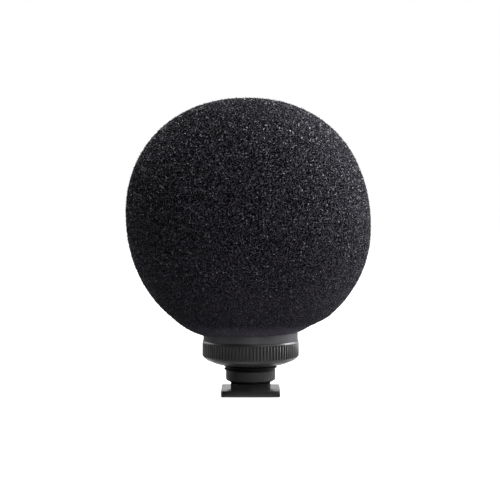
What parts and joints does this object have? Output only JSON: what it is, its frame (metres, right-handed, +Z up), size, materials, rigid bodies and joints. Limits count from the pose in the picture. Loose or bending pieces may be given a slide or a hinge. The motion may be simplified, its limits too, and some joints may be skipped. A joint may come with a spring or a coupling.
{
  "type": "on camera microphone",
  "caption": "Compact stereo microphone under a ball of open-cell foam, on a ribbed locking wheel, threaded stem and accessory-shoe foot.",
  "frame": {"origin": "centre of the foot's underside", "axes": "+Z up through the foam ball, -Y towards what the microphone listens to, +X to the right as seen from in front, with the socket at the back on +Y"},
  "size_m": [0.078, 0.078, 0.0941],
  "materials": {
    "foam": "open-cell foam, black with a faint blue-grey cast",
    "wheel_plastic": "satin black moulding",
    "base_plastic": "satin black moulding",
    "stem_metal": "black anodised, turned",
    "foot_metal": "black anodised, smooth",
    "body_metal": "black anodised, satin",
    "black_steel": "blackened steel",
    "nickel": "nickel plate",
    "aluminium_can": "bright can",
    "rubber": "matte black rubber",
    "laminate": "green solder resist",
    "moulding": "black moulding",
    "connector": "ivory moulding",
    "lead_red": "red lead sleeve",
    "lead_grey": "grey lead sleeve"
  },
  "bodies": {
    "microphone": {"shoe_foot": "foot_metal", "foot_screw_1": "black_steel", "foot_screw_2": "black_steel", "foot_screw_3": "black_steel", "foot_screw_4": "black_steel", "stem": "stem_metal", "base_housing": "base_plastic", "stem_screw_1": "black_steel", "stem_screw_2": "black_steel", "stem_screw_3": "black_steel", "output_jack": "moulding", "jack_nut": "nickel", "body_tube": "body_metal", "body_screw_1": "black_steel", "body_screw_2": "black_steel", "body_screw_3": "black_steel", "main_board": "laminate", "preamp_chip": "moulding", "filter_capacitor_1": "aluminium_can", "filter_capacitor_2": "aluminium_can", "capsule_connector": "connector", "head_ring": "body_metal", "suspension_ring": "rubber", "capsule_cradle": "moulding", "capsule_left": "nickel", "capsule_boot_left": "rubber", "capsule_right": "nickel", "capsule_boot_right": "rubber", "capsule_lead_left": "lead_red", "capsule_lead_right": "lead_grey", "grille_cage": "body_metal"},
    "windscreen": {"foam_windscreen": "foam"},
    "washer": {"clamp_washer": "rubber"},
    "wheel": {"lock_wheel": "wheel_plastic"}
  },
  "joints": [
    {"name": "windscreen_pull", "type": "slide", "parent": "microphone", "child": "windscreen", "axis": [0, 0, 1], "range_m": [0, 0.056]},
    {"name": "wheel_drop", "type": "slide", "parent": "microphone", "child": "washer", "axis": [0, 0, 1], "range_m": [-0.0056, 0]},
    {"name": "wheel_turn", "type": "hinge", "parent": "washer", "child": "wheel", "pos_m": [0, 0, 0.0135], "axis": [0, 0, 1], "range_deg": [-2016, 0]}
  ],
  "couplings": [
    {"joint": "wheel_drop", "follows": "wheel_turn", "m_per_rad": 0.00015915}
  ]
}
